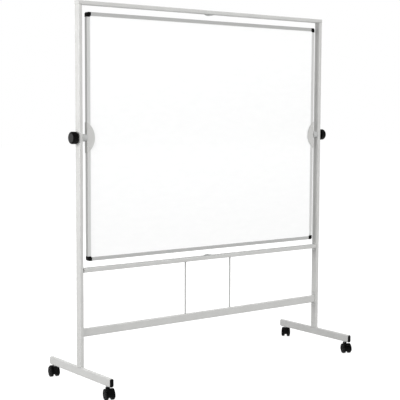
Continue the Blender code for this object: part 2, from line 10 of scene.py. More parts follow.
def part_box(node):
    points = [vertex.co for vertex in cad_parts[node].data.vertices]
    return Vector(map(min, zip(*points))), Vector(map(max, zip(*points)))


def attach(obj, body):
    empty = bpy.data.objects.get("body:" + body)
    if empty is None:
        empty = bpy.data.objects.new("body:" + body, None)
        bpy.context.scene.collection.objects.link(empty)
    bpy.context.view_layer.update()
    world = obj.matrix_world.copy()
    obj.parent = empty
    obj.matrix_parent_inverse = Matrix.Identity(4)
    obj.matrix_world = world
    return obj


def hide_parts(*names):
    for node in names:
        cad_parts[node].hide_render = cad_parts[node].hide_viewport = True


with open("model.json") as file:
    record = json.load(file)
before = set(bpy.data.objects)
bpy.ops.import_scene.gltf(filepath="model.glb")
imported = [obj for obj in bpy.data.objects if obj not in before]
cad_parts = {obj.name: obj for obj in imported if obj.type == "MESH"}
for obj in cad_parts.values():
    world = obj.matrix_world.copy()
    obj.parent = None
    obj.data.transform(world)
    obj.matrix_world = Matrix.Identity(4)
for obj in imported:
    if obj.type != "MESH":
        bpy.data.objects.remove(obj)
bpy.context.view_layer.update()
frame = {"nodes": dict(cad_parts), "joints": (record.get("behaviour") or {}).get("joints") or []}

JOINTS = {joint["name"]: joint for joint in frame["joints"]}
SIDES = (("left", -1), ("right", 1))
CASTORS = ("rear_left", "front_left", "rear_right", "front_right")
BRAKED = ("rear_left", "front_right")
FACING = {"X": Matrix.Rotation(math.pi / 2, 4, "Y"), "-X": Matrix.Rotation(-math.pi / 2, 4, "Y"),
          "Y": Matrix.Rotation(-math.pi / 2, 4, "X"), "-Y": Matrix.Rotation(math.pi / 2, 4, "X"),
          "Z": Matrix.Identity(4), "-Z": Matrix.Rotation(math.pi, 4, "X")}

# Sizes that several pieces share, in metres
TUBE_RADIUS = 0.005     # outer corners of the tubes
TUBE_WALL = 0.0015
SEAM = 0.0003           # hairline that is left between pieces
PAST = 0.01             # how far a cutting shape reaches past what it cuts
STUD_RADIUS = 0.005
BUSH_BARREL = 0.008     # radius of the bush inside the upright
STEM_RADIUS = 0.004
AXLE_BORE = 0.0033
TYRE_SECTION = 0.0048
RAIL_TUBES = {"mid_rail": (0.040, 0.020), "low_rail": (0.020, 0.040)}   # depth, height

# Places and sizes that come from the CAD
PIVOT_HEIGHT = JOINTS["board_turn"]["pos_m"][2]
CASTOR_SPREAD = abs(JOINTS["rear_left_swivel"]["pos_m"][1])
BOARD_LOW = Vector((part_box("profile_left")[0].x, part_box("profile_left")[0].y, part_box("profile_bottom")[0].z))
BOARD_HIGH = Vector((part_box("profile_right")[1].x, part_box("profile_left")[1].y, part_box("profile_top")[1].z))
BOARD_SIZE = BOARD_HIGH - BOARD_LOW

# Light and camera
FLOOR_GLOW = 0.92
FLOOR_ALBEDO = 0.20
ROOM_LIGHT = 0.47
CAMERA_PLACE = (-3.33485, -4.24624, 1.34855)
CAMERA_ANGLES = (37.679, 4.923, -0.246)     # yaw, pitch and roll in degrees
CAMERA_LENS = 92.08
SOFTBOXES = (           # name, place, aim, width, height, power, beam in degrees
    ("key_softbox", (-3.3, -0.2, 1.8), (-0.2, 0, 1.3), 2.0, 2.0, 56, 150),
    ("front_softbox", (0.9, -4.9, 2.4), (-0.1, 0, 1.15), 2.6, 2.6, 148, 180),
    ("back_softbox", (2.6, 5.0, 2.4), (0, 0, 1.1), 2.6, 2.6, 175, 180),
    ("top_softbox", (0, 0.3, 5.2), (0, 0, 0), 4.0, 3.0, 120, 180))


# ---- outlines, as lists of (u, v) ----
def arc(u, v, radius, start, end, steps):
    """Points on an arc about (u, v) between two angles in degrees."""
    points = []
    for step in range(steps + 1):
        angle = math.radians(start + (end - start) * step / steps)
        points.append((u + radius * math.cos(angle), v + radius * math.sin(angle)))
    return points


def rounded(width, height, radius, steps=8):
    """Rectangle about the origin with round corners."""
    u = width / 2 - radius
    v = height / 2 - radius
    points = []
    for corner, (su, sv) in enumerate(((1, 1), (-1, 1), (-1, -1), (1, -1))):
        points += arc(su * u, sv * v, radius, 90 * corner, 90 * corner + 90, steps)
    return points


def circle(radius, steps=48):
    return arc(0, 0, radius, 0, 360 * (steps - 1) / steps, steps - 1)


def bow(chord, rise):
    """Radius, and half the angle in degrees, of the arc with this chord and rise."""
    radius = (chord ** 2 / 4 + rise ** 2) / (2 * rise)
    return radius, math.degrees(math.asin(chord / 2 / radius))


# ---- solids, as bmeshes ----
def prism(outline, low, high, holes=(), facing="Z"):
    """Extrude an outline, with holes, from low to high along the facing direction."""
    bm = bmesh.new()
    edges = []
    for shape in (outline, *holes):
        verts = [bm.verts.new((u, v, low)) for u, v in shape]
        edges += [bm.edges.new((verts[i - 1], verts[i])) for i in range(len(verts))]
    if holes:
        faces = bmesh.ops.triangle_fill(bm, edges=edges, use_beauty=True)["geom"]
        faces = [item for item in faces if isinstance(item, bmesh.types.BMFace)]
    else:
        faces = [bm.faces.new(list(bm.verts))]
    grown = bmesh.ops.extrude_face_region(bm, geom=faces)["geom"]
    lifted = [item for item in grown if isinstance(item, bmesh.types.BMVert)]
    bmesh.ops.translate(bm, verts=lifted, vec=(0, 0, high - low))
    return turn_to(bm, facing)


def turn_to(bm, facing):
    bmesh.ops.transform(bm, matrix=FACING[facing], verts=bm.verts)
    return bm


def loft(sections, facing="Z"):
    """Skin over outlines of equal length, given as (outline, height); both ends are closed."""
    bm = bmesh.new()
    rings = [[bm.verts.new((u, v, height)) for u, v in outline] for outline, height in sections]
    count = len(rings[0])
    for low, high in zip(rings, rings[1:]):
        for i in range(count):
            bm.faces.new((low[i - 1], low[i], high[i], high[i - 1]))
    bm.faces.new(list(reversed(rings[0])))
    bm.faces.new(rings[-1])
    return turn_to(bm, facing)


def turned(profile, steps=64, facing="Z"):
    """Spin a closed profile of (radius, height) points about the facing direction."""
    bm = bmesh.new()
    verts = [bm.verts.new((radius, 0, height)) for radius, height in profile]
    edges = [bm.edges.new((verts[i - 1], verts[i])) for i in range(len(verts))]
    bmesh.ops.spin(bm, geom=verts + edges, cent=(0, 0, 0), axis=(0, 0, 1), angle=2 * math.pi,
                   steps=steps, use_merge=True)
    bmesh.ops.remove_doubles(bm, verts=bm.verts, dist=0.000005)
    spare = [edge for edge in bm.edges if not edge.link_faces]
    bmesh.ops.delete(bm, geom=spare, context="EDGES")
    return turn_to(bm, facing)


def disc(radius, low, high, steps=48, facing="Z"):
    return prism(circle(radius, steps), low, high, facing=facing)


def block(low, high):
    bm = bmesh.new()
    bmesh.ops.create_cube(bm, size=1)
    bmesh.ops.scale(bm, vec=Vector(high) - Vector(low), verts=bm.verts)
    return moved(bm, (Vector(high) + Vector(low)) / 2)


def moved(bm, offset):
    bmesh.ops.translate(bm, vec=offset, verts=bm.verts)
    return bm


def to_object(bm):
    bmesh.ops.recalc_face_normals(bm, faces=bm.faces)
    mesh = bpy.data.meshes.new("work")
    bm.to_mesh(mesh)
    bm.free()
    obj = bpy.data.objects.new("work", mesh)
    bpy.context.collection.objects.link(obj)
    return obj


def finished(bm, cuts=(), joins=(), keeps=(), edge=0.0, rounds=2, smooth=32):
    """The mesh of a solid after exact Booleans, with its sharp edges rounded and its flats kept flat."""
    base = to_object(bm)
    tools = []
    for operation, shapes in (("UNION", joins), ("DIFFERENCE", cuts), ("INTERSECT", keeps)):
        for shape in shapes:
            tool = to_object(shape)
            modifier = base.modifiers.new(operation.title(), "BOOLEAN")
            modifier.operation = operation
            modifier.solver = "EXACT"
            modifier.object = tool
            tools.append(tool)
    if edge:
        modifier = base.modifiers.new("Edges", "BEVEL")
        modifier.width = edge
        modifier.segments = rounds
        modifier.limit_method = "ANGLE"
        modifier.angle_limit = math.radians(smooth)
    depsgraph = bpy.context.evaluated_depsgraph_get()
    shaped = bpy.data.meshes.new_from_object(base.evaluated_get(depsgraph))
    shaped.shade_smooth()
    shaped.set_sharp_from_angle(angle=math.radians(smooth))
    base.modifiers.clear()
    base.data = shaped
    modifier = base.modifiers.new("Normals", "WEIGHTED_NORMAL")
    modifier.weight = 100
    modifier.keep_sharp = True
    depsgraph = bpy.context.evaluated_depsgraph_get()
    mesh = bpy.data.meshes.new_from_object(base.evaluated_get(depsgraph), preserve_all_data_layers=True,
                                           depsgraph=depsgraph)
    for obj in (base, *tools):
        bpy.data.objects.remove(obj, do_unlink=True)
    return mesh


def piece(name, mesh, material, body, slot, *nodes, place=None):
    """Put a mesh in the scene as one piece of a CAD body, standing for the given CAD nodes."""
    obj = bpy.data.objects.new(name, mesh)
    bpy.context.collection.objects.link(obj)
    if place is not None:
        obj.matrix_world = place
    if mesh.materials:
        mesh.materials[0] = material
    else:
        mesh.materials.append(material)
    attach(obj, body)
    if nodes:
        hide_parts(*nodes)
    return obj


def at(*offset):
    return Matrix.Translation(offset)


def middle(node):
    low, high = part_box(node)
    return (low + high) / 2


def size(node):
    low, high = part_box(node)
    return high - low


# ---- finishes ----
def add_node(tree, kind, settings=None, **inputs):
    """Add a shader node; an input takes a value or another node's output."""
    item = tree.nodes.new(kind)
    for key, value in (settings or {}).items():
        setattr(item, key, value)
    for key, value in inputs.items():
        socket = item.inputs[key.replace("_", " ")]
        if isinstance(value, bpy.types.NodeSocket):
            tree.links.new(value, socket)
        else:
            socket.default_value = value
    return item


def new_material(name, roughness, metallic=0.0, coat=0.0, coat_roughness=0.1, specular=0.5):
    material = bpy.data.materials.new(name)
    material.use_nodes = True
    shader = material.node_tree.nodes["Principled BSDF"]
    shader.inputs["Roughness"].default_value = roughness
    shader.inputs["Metallic"].default_value = metallic
    shader.inputs["Specular IOR Level"].default_value = specular
    shader.inputs["Coat Weight"].default_value = coat
    shader.inputs["Coat Roughness"].default_value = coat_roughness
    return material, material.node_tree, shader


def grain(tree, scale, detail=2.0, stretch=(1, 1, 1), distortion=0.0):
    """Noise in the piece's own coordinates; scale is in cycles a metre."""
    place = add_node(tree, "ShaderNodeTexCoord").outputs["Object"]
    place = add_node(tree, "ShaderNodeMapping", Vector=place, Scale=stretch).outputs["Vector"]
    noise = add_node(tree, "ShaderNodeTexNoise", Vector=place, Scale=scale, Detail=detail,
                     Distortion=distortion)
    return noise.outputs[0]


def spread(tree, value, low, high, start=0.3, end=0.7):
    """Map noise between start and end to values between low and high."""
    item = add_node(tree, "ShaderNodeMapRange", Value=value, From_Min=start, From_Max=end,
                    To_Min=low, To_Max=high)
    return item.outputs["Result"]


def tint(tree, factor, first, second):
    """Blend two colours; the numbered sockets are the colour ones of the Mix node."""
    item = add_node(tree, "ShaderNodeMix", {"data_type": "RGBA"}, Factor=factor)
    item.inputs[6].default_value = (*first, 1)
    item.inputs[7].default_value = (*second, 1)
    return item.outputs[2]


def bump(tree, height, distance, strength=1.0, under=None):
    item = add_node(tree, "ShaderNodeBump", Height=height, Distance=distance, Strength=strength)
    if under is not None:
        tree.links.new(under, item.inputs["Normal"])
    return item.outputs["Normal"]


def join(tree, shader, colour=None, roughness=None, normal=None):
    """Link a shader's colour, roughness and normal to their textures."""
    for name, socket in (("Base Color", colour), ("Roughness", roughness), ("Normal", normal)):
        if socket is not None:
            tree.links.new(socket, shader.inputs[name])


def powder_paint(name, dark, light):
    """Powder coat: fine orange peel, and soft clouds in its tone and gloss."""
    material, tree, shader = new_material(name, 0.40, coat=0.15, coat_roughness=0.25)
    clouds = grain(tree, 9, 3)
    peel = grain(tree, 700, 2)
    speck = grain(tree, 2600, 1)
    colour = tint(tree, spread(tree, clouds, 0, 1), dark, light)
    rough = spread(tree, clouds, 0.36, 0.46)
    normal = bump(tree, peel, 0.00006, 0.5)
    normal = bump(tree, speck, 0.00002, 0.5, normal)
    join(tree, shader, colour, rough, normal)
    return material


def drawn_aluminium(name, stretch, dark, light):
    """Satin anodised aluminium with the fine lines of its drawing; stretch sets their direction."""
    material, tree, shader = new_material(name, 0.45, metallic=0.3)
    lines = grain(tree, 1, 3, stretch)
    clouds = grain(tree, 6, 2)
    colour = tint(tree, spread(tree, lines, 0, 1), dark, light)
    mixed = add_node(tree, "ShaderNodeMath", {"operation": "ADD"})
    tree.links.new(spread(tree, lines, 0.0, 0.08), mixed.inputs[0])
    tree.links.new(spread(tree, clouds, 0.38, 0.46), mixed.inputs[1])
    join(tree, shader, colour, mixed.outputs[0], bump(tree, lines, 0.00003, 0.4))
    return material


def enamel():
    """White lacquered steel: glossy, very slightly wavy, with the haze that wiping leaves."""
    material, tree, shader = new_material("white_writing_enamel", 0.10, coat=0.5, coat_roughness=0.05)
    waves = grain(tree, 3.5, 1)
    wipes = grain(tree, 14, 4, (1, 1, 2.6), 0.6)
    colour = tint(tree, spread(tree, wipes, 0, 1), (0.935, 0.938, 0.937), (0.952, 0.954, 0.952))
    rough = spread(tree, wipes, 0.09, 0.17)
    join(tree, shader, colour, rough, bump(tree, waves, 0.0006, 0.25))
    return material


def moulded(name, first, second, rough, fine=1900, specular=0.5):
    """Moulded plastic with a fine spark-eroded texture."""
    material, tree, shader = new_material(name, rough, specular=specular)
    flow = grain(tree, 60, 3)
    skin = grain(tree, fine, 2)
    colour = tint(tree, spread(tree, flow, 0, 1), first, second)
    join(tree, shader, colour, spread(tree, flow, rough - 0.05, rough + 0.07),
         bump(tree, skin, 0.00005, 0.6))
    return material


def rolled_tread():
    """Polyurethane tread: scuffed in fine rings, greyed a little by floor dust."""
    material, tree, shader = new_material("tread", 0.55, specular=0.10)
    dust = grain(tree, 220, 4, distortion=0.4)
    scuff = grain(tree, 1400, 2)
    colour = tint(tree, spread(tree, dust, 0, 1, 0.45, 0.85), (0.005, 0.005, 0.0053),
                  (0.011, 0.0108, 0.0105))
    join(tree, shader, colour, spread(tree, dust, 0.45, 0.7), bump(tree, scuff, 0.00008, 0.5))
    return material


def zinc():
    """Bright zinc plate, clouded a little, with fine turning lines."""
    material, tree, shader = new_material("bright_zinc", 0.28, metallic=1.0)
    clouds = grain(tree, 240, 3)
    lines = grain(tree, 3200, 1)
    colour = tint(tree, spread(tree, clouds, 0, 1), (0.56, 0.58, 0.60), (0.68, 0.68, 0.66))
    join(tree, shader, colour, spread(tree, clouds, 0.22, 0.38), bump(tree, lines, 0.00002, 0.4))
    return material


def chipboard():
    """Pressed wood flakes, for the core between the sheets."""
    material, tree, shader = new_material("chipboard", 0.85)
    place = add_node(tree, "ShaderNodeTexCoord").outputs["Object"]
    flakes = add_node(tree, "ShaderNodeTexVoronoi", Vector=place, Scale=260)
    colour = tint(tree, flakes.outputs["Distance"], (0.42, 0.30, 0.18), (0.66, 0.52, 0.34))
    join(tree, shader, colour, None, bump(tree, flakes.outputs["Distance"], 0.0003, 0.5))
    return material


PAINT = powder_paint("light_grey_powder_coat", (0.510, 0.510, 0.498), (0.550, 0.550, 0.538))
# The frame's powder coat again, darker, for the thin rods: painted shade, not a different paint.
ROD_PAINT_SHADED_COPY = powder_paint("powder_coat_painted_darker", (0.41, 0.41, 0.405), (0.45, 0.45, 0.445))
# The same anodised aluminium in two tones that paint in light and shade: the cross channels get a darker copy and
# the upright channels a lighter one.
ALUMINIUM_ACROSS_PAINTED_DARKER = drawn_aluminium("anodised_aluminium_across_painted_darker", (30, 2400, 2400),
                                   (0.42, 0.422, 0.415), (0.49, 0.492, 0.485))
ALUMINIUM_UP_PAINTED_LIGHTER = drawn_aluminium("anodised_aluminium_up_painted_lighter", (2400, 2400, 30),
                               (0.58, 0.582, 0.575), (0.65, 0.652, 0.645))
ENAMEL = enamel()
BLACK = moulded("black_moulded_plastic", (0.0012, 0.0012, 0.0013), (0.0030, 0.0030, 0.0032), 0.36,
                specular=0.06)
KNOB_FACE = moulded("black_plastic_insert", (0.014, 0.014, 0.0145), (0.021, 0.021, 0.0215), 0.38,
                    2600, 0.3)
HUB = moulded("black_nylon", (0.006, 0.006, 0.0063), (0.012, 0.012, 0.0125), 0.42, 1500, 0.13)
GREY = moulded("grey_moulded_plastic", (0.42, 0.425, 0.42), (0.47, 0.475, 0.47), 0.42)
TREAD = rolled_tread()
ZINC = zinc()
CORE = chipboard()


# ---- small shared hardware ----
def screw_mesh():
    """Pan head with a hexagon socket, standing on z = 0."""
    radius, height, rim, crown = 0.0045, 0.0025, 0.0010, 0.0015
    profile = [(0, 0), (radius, 0), (radius, rim)]
    profile += arc(radius - crown, rim, crown, 0, 90, 6) + [(0, height)]
    socket = prism(circle(0.0019, 6), rim, height + crown)
    return finished(turned(profile, 40), [socket], edge=0.00015, rounds=1)


def rivet_mesh():
    """Low domed rivet head, standing on z = 0."""
    head_radius, height, rise = 0.005, 0.0016, 0.0014
    radius, half = bow(2 * head_radius, rise)
    dome = arc(0, height - radius, radius, 90 - half, 90, 8)
    return finished(turned([(0, 0), (head_radius, 0)] + dome, 40))


def weld_bead(width, depth, radius, leg=0.0022):
    """Fillet round the foot of a tube, hollowed a little, standing on z = 0."""
    dip = 0.4 * leg
    outer = rounded(width + 2 * leg, depth + 2 * leg, radius + leg)
    mid = rounded(width + 2 * dip, depth + 2 * dip, radius + dip)
    inner = rounded(width, depth, radius)
    return loft([(outer, 0), (mid, dip), (inner, leg)])


SCREW = screw_mesh()
RIVET = rivet_mesh()
SHARED_MESHES = {}


# ---- the frame ----
def hollow_bar(width, height, length, facing, radius=TUBE_RADIUS):
    bore = rounded(width - 2 * TUBE_WALL, height - 2 * TUBE_WALL, radius - TUBE_WALL)
    return prism(rounded(width, height, radius), -length / 2, length / 2, [bore], facing)


def make_uprights():
    """Tubes with a hole for the pivot bush, each welded onto the flat of its foot."""
    foot_round = 0.0012
    for side_name, _ in SIDES:
        node = "upright_" + side_name
        span = size(node)
        centre = middle(node)
        hole = disc(BUSH_BARREL + SEAM, -span.x, span.x, facing="X")
        mesh = finished(hollow_bar(span.x, span.y, span.z, "Z"),
                        [moved(hole, (0, 0, PIVOT_HEIGHT - centre.z))])
        piece(node + "_tube", mesh, PAINT, "frame", "frame_paint", node, place=at(*centre))
        flat = span.x / 2 - foot_round
        seat = block((-flat, -span.y, -0.001), (flat, span.y, PAST))
        bead = finished(weld_bead(span.x, span.y, TUBE_RADIUS), keeps=[seat], smooth=50)
        piece("weld_" + side_name, bead, PAINT, "frame", "frame_paint",
              place=at(centre.x, 0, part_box("foot_" + side_name)[1].z))


def make_top_rail():
    span = size("top_rail")
    bar = prism(rounded(span.z, span.y, TUBE_RADIUS), -span.x / 2, span.x / 2, facing="X")
    mesh = finished(bar, edge=0.0008, smooth=60)
    piece("top_rail_tube", mesh, PAINT, "frame", "frame_paint", "top_rail", place=at(*middle("top_rail")))


def make_lower_rails():
    """Each rail is a tube with lids in its ends, between two plates with two screws in each."""
    plate = 0.003
    lid_bite = 0.0002           # how far a lid reaches into the tube's wall
    lid_half, lid_inset = 0.0009, 0.0013
    rod_reach = 0.05
    for node, depth, height, screw_offset, rod_side in (("mid_rail", 0.024, 0.048, 0.017, -1),
                                                        ("low_rail", 0.022, 0.080, 0.032, 1)):
        centre = middle(node)
        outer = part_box(node)[1].x
        reach = outer - plate
        tube_depth, tube_height = RAIL_TUBES[node]
        sockets = []
        for side_name, _ in SIDES:
            rod = middle("rod_" + side_name)
            bottom, top = sorted((0, rod_side * rod_reach))
            hole = disc(size("rod_left").x / 2 + SEAM, bottom, top, 32)
            sockets.append(moved(hole, (rod.x, rod.y, 0)))
        gap = 2 * (TUBE_WALL - lid_bite)
        lid = rounded(tube_height - gap, tube_depth - gap, TUBE_RADIUS - gap / 2)
        lids = []
        for _, side in SIDES:
            spot = side * (reach - lid_inset)
            lids.append(prism(lid, spot - lid_half, spot + lid_half, facing="X"))
        mesh = finished(hollow_bar(tube_height, tube_depth, 2 * reach, "X"), sockets, joins=lids)
        piece(node + "_tube", mesh, PAINT, "frame", "frame_paint", node, place=at(*centre))
        holder = finished(prism(rounded(height, depth, 0.004), reach, outer, facing="X"), edge=0.0005)
        for side_name, side in SIDES:
            spin = Matrix.Rotation(0 if side > 0 else math.pi, 4, "Z")
            piece(f"{node}_plate_{side_name}", holder, PAINT, "frame", "frame_paint",
                  place=at(*centre) @ spin)
            for number, offset in enumerate((screw_offset, -screw_offset)):
                place = at(side * reach, centre.y, centre.z + offset) @ FACING["-X" if side > 0 else "X"]
                piece(f"{node}_screw_{side_name}_{number}", SCREW, ZINC, "frame", "zinc_steel", place=place)


def make_feet():
    """Tubes along Y with a hole under each stem, and a domed plug in each end."""
    for side_name, _ in SIDES:
        node = "foot_" + side_name
        span = size(node)
        holes = []
        for end in (-1, 1):
            holes.append(moved(disc(STEM_RADIUS + SEAM, -span.z, 0, 32), (0, end * CASTOR_SPREAD, 0)))
        mesh = finished(hollow_bar(span.x, span.z, span.y, "Y"), holes)
        piece(node + "_tube", mesh, PAINT, "frame", "frame_paint", node, place=at(*middle(node)))
        for end, facing in (("front", "-Y"), ("rear", "Y")):
            plug = f"foot_plug_{end}_{side_name}"
            low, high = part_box(plug)
            reach = max(abs(low.y), abs(high.y))
            rim = span.y / 2 + SEAM
            insert_gap = 2 * (TUBE_WALL + SEAM)
            insert_length, insert_corner, insert_bite = 0.014, 0.003, 0.0008
            insert = prism(rounded(span.x - insert_gap, span.z - insert_gap, insert_corner),
                           rim - insert_length, rim + insert_bite)
            corner, skirt, shrink, steps = 0.0085, 0.0012, 0.0052, 8
            dome = [(rounded(span.x, span.z, corner), rim)]
            for step in range(steps + 1):
                angle = math.radians(90 * step / steps)
                inset = shrink * (1 - math.cos(angle))
                rise = skirt + (reach - rim - skirt) * math.sin(angle)
                dome.append((rounded(span.x - 2 * inset, span.z - 2 * inset, corner - inset), rim + rise))
            mesh = finished(turn_to(insert, facing), joins=[loft(dome, facing)], smooth=50)
            piece(plug + "_cap", mesh, BLACK, "frame", "black_plastic", plug,
                  place=at(middle(node).x, 0, middle(node).z))


def make_rods():
    """Thin rods between the lower rails, each with a collar under the mid rail's tube."""
    tube_gap = (size("mid_rail").z - RAIL_TUBES["mid_rail"][1]) / 2
    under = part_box("mid_rail")[0].z + tube_gap
    for side_name, _ in SIDES:
        node = "rod_" + side_name
        span = size(node)
        centre = middle(node)
        mesh = finished(disc(span.x / 2, -span.z / 2, span.z / 2, 40))
        # the rods take the darker copy of the frame's powder coat, which paints shade on them
        piece(node + "_bar", mesh, ROD_PAINT_SHADED_COPY, "frame", "frame_paint", node, place=at(*centre))
        hole, rim = 0.0043, 0.0075
        collar = [(hole, 0), (rim, 0), (rim, 0.0012), (0.0052, 0.0042), (hole, 0.0046)]
        piece(f"rod_collar_{side_name}", finished(turned(collar, 40, "-Z"), edge=0.0003), PAINT, "frame",
              "frame_paint", place=at(centre.x, centre.y, under))


def make_buffers():
    """Domed pads in the middle of the top and mid rail."""
    for node, facing in (("rail_buffer_top", "Y"), ("rail_buffer_bottom", "-Y")):
        low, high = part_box(node)
        length, depth, rise = high - low
        radius, half = bow(length, rise)
        outline = arc(0, rise - radius, radius, 90 - half, 90 + half, 32)
        mesh = finished(prism(outline, -depth / 2, depth / 2, (), facing), edge=0.0008, rounds=3)
        level = high.z if facing == "Y" else low.z
        piece(node + "_pad", mesh, GREY, "frame", "grey_plastic", node, place=at(0, 0, level))


# ---- the board ----
def channel_outline(face, depth):
    """Section of the board frame, its back at u = 0, with a shallow groove along each face."""
    half = depth / 2
    wall = 0.002
    edge = 0.0018
    groove, groove_half = 0.0005, 0.0006
    step = 0.0002           # the inner half of a face lies this much lower than the outer
    outer = arc(-edge, half - edge, edge, 90, 0, 6) + arc(-edge, edge - half, edge, 0, -90, 6)
    centre = -face / 2
    lip = [(-face, half - wall), (-face, half - 0.0009), (-face + 0.0007, half - step),
           (centre - 2 * groove_half, half - step), (centre - groove_half, half - groove),
           (centre + groove_half, half - groove), (centre + 2 * groove_half, half)]
    mirrored = [(u, -v) for u, v in reversed(lip)]
    return lip + outer + mirrored + [(-wall, wall - half), (-wall, half - wall)]


def make_profiles():
    """Four channels round the board, each turned from the right-hand one."""
    face = 0.018
    board = middle("board_core")
    width, depth, height = BOARD_SIZE
    for node, turn, reach in (("profile_right", 0, width / 2), ("profile_top", 90, height / 2),
                              ("profile_left", 180, width / 2), ("profile_bottom", 270, height / 2)):
        along = size(node).z if turn in (0, 180) else size(node).x
        bm = moved(prism(channel_outline(face, depth), -along / 2, along / 2), (reach, 0, 0))
        bmesh.ops.transform(bm, matrix=Matrix.Rotation(-math.radians(turn), 4, "Y"), verts=bm.verts)
        # upright channels take the copy painted lighter, cross channels the copy painted darker
        material = ALUMINIUM_UP_PAINTED_LIGHTER if turn in (0, 180) else ALUMINIUM_ACROSS_PAINTED_DARKER
        piece(node + "_channel", finished(bm, smooth=40), material, "board", "board_aluminium", node,
              place=at(*board))


def make_corners():
    """L-shaped caps slotted over the profiles' ends, with a dished field in each face."""
    board = middle("board_core")
    width, _, height = BOARD_SIZE
    leg, thickness, _ = size("corner_top_right")
    half = thickness / 2
    chamfer = 0.007
    radius = 0.010
    border, border_slant = 0.0035, 0.0045
    dish_depth = 0.0004
    cap_wall, slot_half = 0.002, 0.008
    half_x, half_z = width / 2, height / 2
    low_x, low_z = half_x - leg, half_z - leg
    outline = [(low_x + chamfer, low_z), (half_x, low_z)]
    outline += arc(half_x - radius, half_z - radius, radius, 0, 90, 14)
    outline += [(low_x, half_z), (low_x, low_z + chamfer)]
    for node, sx, sz in (("corner_top_right", 1, 1), ("corner_top_left", -1, 1),
                         ("corner_bottom_left", -1, -1), ("corner_bottom_right", 1, -1)):
        shape = prism([(sx * x, -sz * z) for x, z in outline], -half, half, (), "Y")
        slot = prism(rounded(width - 2 * cap_wall, height - 2 * cap_wall, radius, 14), -slot_half,
                     slot_half, (), "Y")
        dish = [(low_x + chamfer + border_slant, low_z + border), (half_x - border, low_z + border)]
        dish += arc(half_x - radius, half_z - radius, radius - border, 0, 90, 10)
        dish += [(low_x + border, half_z - border), (low_x + border, low_z + chamfer + border_slant)]
        faces = []
        for facing, flip in (("Y", -1), ("-Y", 1)):
            field = [(sx * x, flip * sz * z) for x, z in dish]
            faces.append(prism(field, half - dish_depth, half + PAST, (), facing))
        mesh = finished(shape, [slot, *faces], edge=0.0006, rounds=3, smooth=35)
        piece(node + "_cap", mesh, BLACK, "board", "black_plastic", node, place=at(*board))


def make_brackets():
    """Sheet folded round the board's edge, with two rivets in each face."""
    board = middle("board_core")
    rivet_spacing, rivet_inset = 0.09, 0.014
    for side_name, side in SIDES:
        node = "bracket_" + side_name
        low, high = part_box(node)
        reach, depth, chord = high - low
        edge = max(abs(low.x), abs(high.x))
        radius, half = bow(chord, reach)
        wall, fold, inner_fold = 0.0015, 0.0022, 0.0007
        outer = arc(edge - fold, depth / 2 - fold, fold, 90, 0, 8)
        outer += arc(edge - fold, fold - depth / 2, fold, 0, -90, 8)
        inside = depth / 2 - wall - inner_fold
        inner = arc(edge - wall - inner_fold, -inside, inner_fold, -90, 0, 4)
        inner += arc(edge - wall - inner_fold, inside, inner_fold, 0, 90, 4)
        start = edge - reach - PAST
        section = ([(start, depth / 2)] + outer + [(start, -depth / 2), (start, wall - depth / 2)] + inner
                   + [(start, depth / 2 - wall)])
        sheet = prism(section, -chord / 2 - PAST, chord / 2 + PAST)
        crescent = arc(edge - reach + radius, 0, radius, 180 - half, 180 + half, 64)
        plate = prism(crescent, -3 * PAST, 3 * PAST, (), "Y")
        mesh = finished(sheet, keeps=[plate], edge=0.0003, rounds=2, smooth=40)
        spin = Matrix.Rotation(0 if side > 0 else math.pi, 4, "Z")
        piece(node + "_plate", mesh, PAINT, "board", "frame_paint", node, place=at(*board) @ spin)
        for face_name, facing, face in (("front", "-Y", -1), ("back", "Y", 1)):
            for number, offset in enumerate((rivet_spacing / 2, -rivet_spacing / 2)):
                spot = at(side * (edge - rivet_inset), face * depth / 2, board.z + offset)
                piece(f"rivet_{side_name}_{face_name}_{number}", RIVET, PAINT, "board", "frame_paint",
                      place=spot @ FACING[facing])


def reach_of(node):
    """Inner and outer distance of a turned pivot part from the board's middle, and its radius."""
    low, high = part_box(node)
    near, far = sorted((abs(low.x), abs(high.x)))
    return near, far, (high.y - low.y) / 2


def make_pivots():
    """Spacer, bush, washer and knob on the stud at each side of the board."""
    pivot = at(0, 0, PIVOT_HEIGHT)
    bore = STUD_RADIUS + SEAM
    for side_name, side in SIDES:
        facing = "X" if side > 0 else "-X"
        near, far, radius = reach_of("pivot_spacer_" + side_name)
        head, seat = 0.0153, near + 0.0033      # recess for the stud's head
        ease, groove_depth, groove_half, crown = 0.0006, 0.0007, 0.0008, 0.0015
        profile = [(bore, seat), (head, seat), (head, near), (radius - ease, near), (radius, near + ease)]
        for groove in (0.009, 0.018):
            profile += [(radius, near + groove - groove_half), (radius - groove_depth, near + groove),
                        (radius, near + groove + groove_half)]
        profile += arc(radius - crown, far - crown, crown, 0, 90, 5) + [(bore, far)]
        piece(f"pivot_spacer_{side_name}_hub", finished(turned(profile, 72, facing)), GREY, "board",
              "grey_plastic", "pivot_spacer_" + side_name, place=pivot)

        near, far, radius = reach_of("pivot_bush_" + side_name)
        flange, ease = far - 0.0015, 0.0005
        profile = [(bore, near), (BUSH_BARREL, near), (BUSH_BARREL, flange), (radius, flange),
                   (radius, far - ease), (radius - ease, far), (bore, far)]
        piece(f"pivot_bush_{side_name}_flange", finished(turned(profile, 64, facing)), BLACK, "frame",
              "black_plastic", "pivot_bush_" + side_name, place=pivot)

        near, far, radius = reach_of("knob_washer_" + side_name)
        ease = 0.0003
        profile = [(bore, near), (radius - ease, near), (radius, near + ease), (radius, far - ease),
                   (radius - ease, far), (bore, far)]
        piece(f"knob_washer_{side_name}_ring", finished(turned(profile, 64, facing)), ZINC,
              side_name + "_washer", "zinc_steel", "knob_washer_" + side_name, place=pivot)
        make_knob(side_name, facing, pivot, bore)


